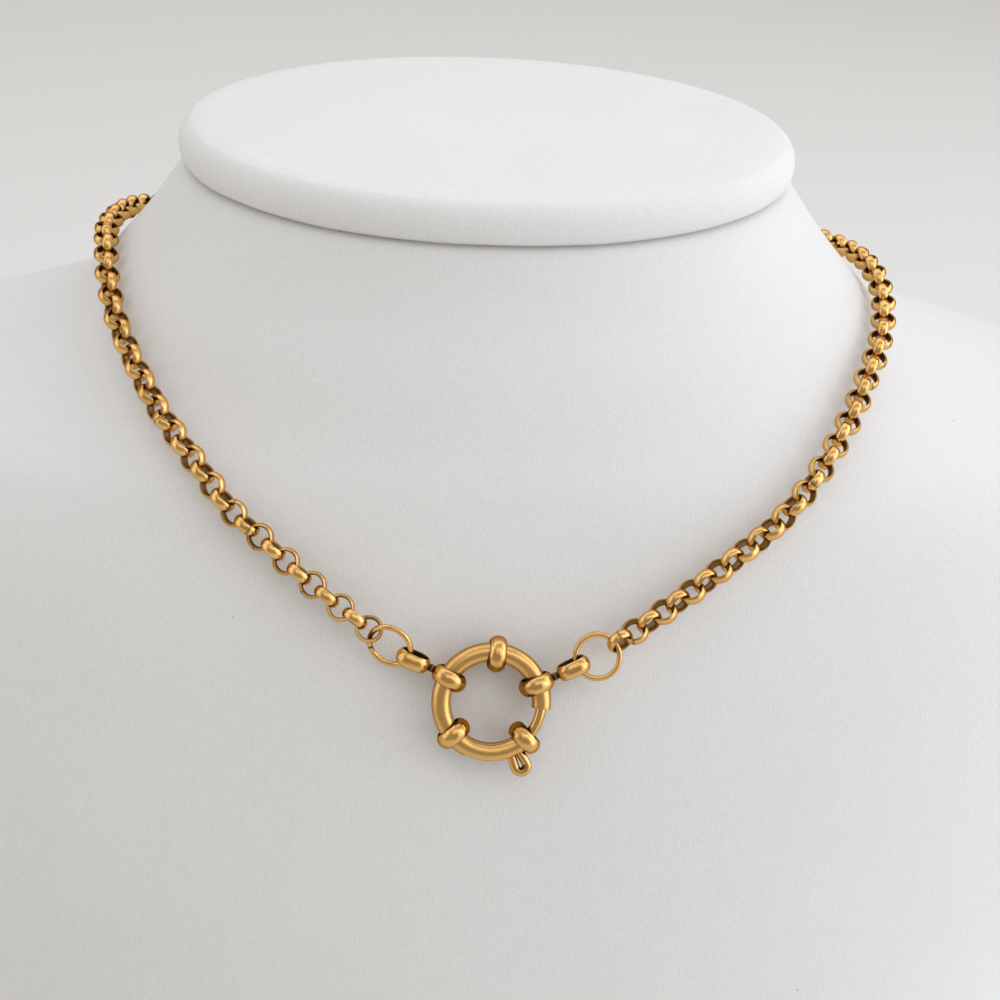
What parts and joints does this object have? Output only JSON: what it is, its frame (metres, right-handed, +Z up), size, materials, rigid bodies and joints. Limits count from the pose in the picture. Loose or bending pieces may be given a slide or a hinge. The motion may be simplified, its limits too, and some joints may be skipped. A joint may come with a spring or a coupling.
{
  "type": "chain choker on a neck bust",
  "caption": "Gold-coloured belcher-link chain choker closed by a sailor clasp with swivel eyes, worn on a pale leatherette neck bust with an oval cap pad.",
  "frame": {"origin": "on the surface that the bust stands on, under the middle of its foot", "axes": "+Z up, the front with the clasp faces -Y, +X is the viewer's right in front of the bust"},
  "size_m": [0.192, 0.114, 0.1681],
  "materials": {
    "leatherette": "pale fine-grained leatherette, matt with a faint sheen",
    "gold_metal": "gold-coloured plated steel, polished and lightly hammered on the collars, satin on the tube"
  },
  "bodies": {
    "choker_and_bust": {"neck_bust": "leatherette", "neck_cap": "leatherette", "clasp_ring": "gold_metal", "collar_top": "gold_metal", "collar_upper_left": "gold_metal", "collar_lower_left": "gold_metal", "collar_upper_right": "gold_metal", "collar_lower_right": "gold_metal", "swivel_eye_left": "gold_metal", "swivel_eye_right": "gold_metal", "jump_ring_left": "gold_metal", "jump_ring_right": "gold_metal", "chain_left": "gold_metal", "chain_right": "gold_metal"},
    "bolt": {"clasp_bolt": "gold_metal"}
  },
  "joints": [
    {"name": "bolt_slide", "type": "hinge", "parent": "choker_and_bust", "child": "bolt", "pos_m": [0, -0.0388, 0.122], "axis": [0, 0.8829, -0.4695], "range_deg": [0, 40], "stiffness_Nm_per_rad": 0.005}
  ]
}
